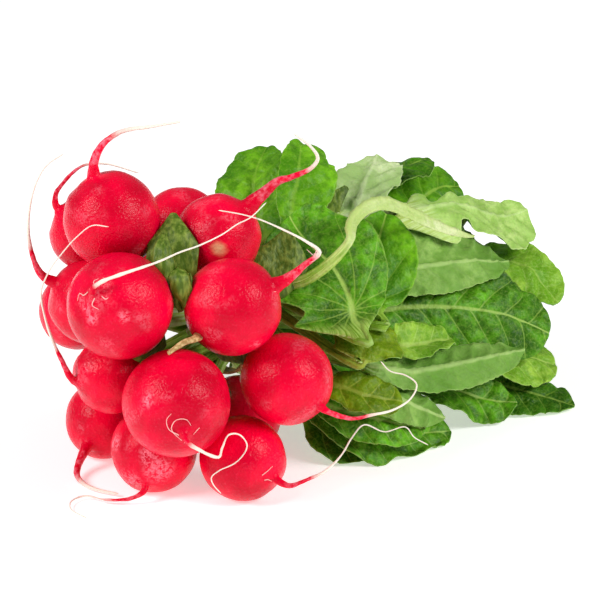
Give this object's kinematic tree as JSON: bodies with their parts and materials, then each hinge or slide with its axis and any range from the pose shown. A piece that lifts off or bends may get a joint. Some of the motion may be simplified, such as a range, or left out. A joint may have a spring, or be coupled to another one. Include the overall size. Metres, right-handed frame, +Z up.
{
  "type": "bunch of radishes",
  "caption": "A tied bunch of small round red radishes with thin taproots and a heap of green leaves, lying on its side.",
  "frame": {"origin": "on the surface it lies on, under the middle of the bunch", "axes": "+X from the bulbs to the leaves, +Z up"},
  "size_m": [0.198, 0.1392, 0.1166],
  "materials": {
    "radish_skin": "smooth fresh skin, crimson, softly glossy",
    "leaf": "soft veined leaf, satin",
    "leaf_underside": "pale leaf seen from its underside, matte",
    "leaf_yellowing": "yellowing leaf, satin",
    "tie": "plain tan band, matte"
  },
  "bodies": {
    "root": {"radish_top_left": "radish_skin", "radish_left": "radish_skin", "radish_front": "radish_skin", "radish_upper": "radish_skin", "radish_middle": "radish_skin", "radish_right": "radish_skin", "radish_low_right": "radish_skin", "radish_low_front": "radish_skin", "radish_low_left": "radish_skin", "radish_floor_left": "radish_skin", "radish_far_left": "radish_skin", "radish_behind_top": "radish_skin", "radish_behind_left": "radish_skin", "radish_behind_upper": "radish_skin", "radish_under_middle": "radish_skin", "radish_floor_back": "radish_skin", "radish_back": "radish_skin", "leaf_core_low": "leaf", "leaf_back_low": "leaf", "leaf_under_left": "leaf", "leaf_under_front": "leaf", "leaf_under_right": "leaf", "leaf_under_mid": "leaf", "leaf_core_mid": "leaf", "leaf_back_mid": "leaf", "leaf_back_end": "leaf", "leaf_low_right": "leaf", "leaf_core_high": "leaf", "leaf_back_high": "leaf", "leaf_end_curl": "leaf", "leaf_long_green": "leaf", "leaf_top_round": "leaf", "leaf_long_pale": "leaf_underside", "leaf_tongue_pale": "leaf_underside", "leaf_back_top": "leaf", "leaf_top_pale": "leaf_underside", "leaf_stand_left": "leaf", "leaf_stand_right": "leaf", "leaf_recess_dark": "leaf", "leaf_low_green": "leaf", "leaf_fold_pale": "leaf_underside", "leaf_narrow_pale": "leaf_underside", "leaf_curl_small": "leaf", "leaf_low_yellow": "leaf_yellowing", "leaf_round_yellow": "leaf_yellowing", "leaf_face_bright": "leaf", "leaf_wide_veined": "leaf", "leaf_hood_stalked": "leaf_underside", "tie": "tie"}
  },
  "joints": []
}
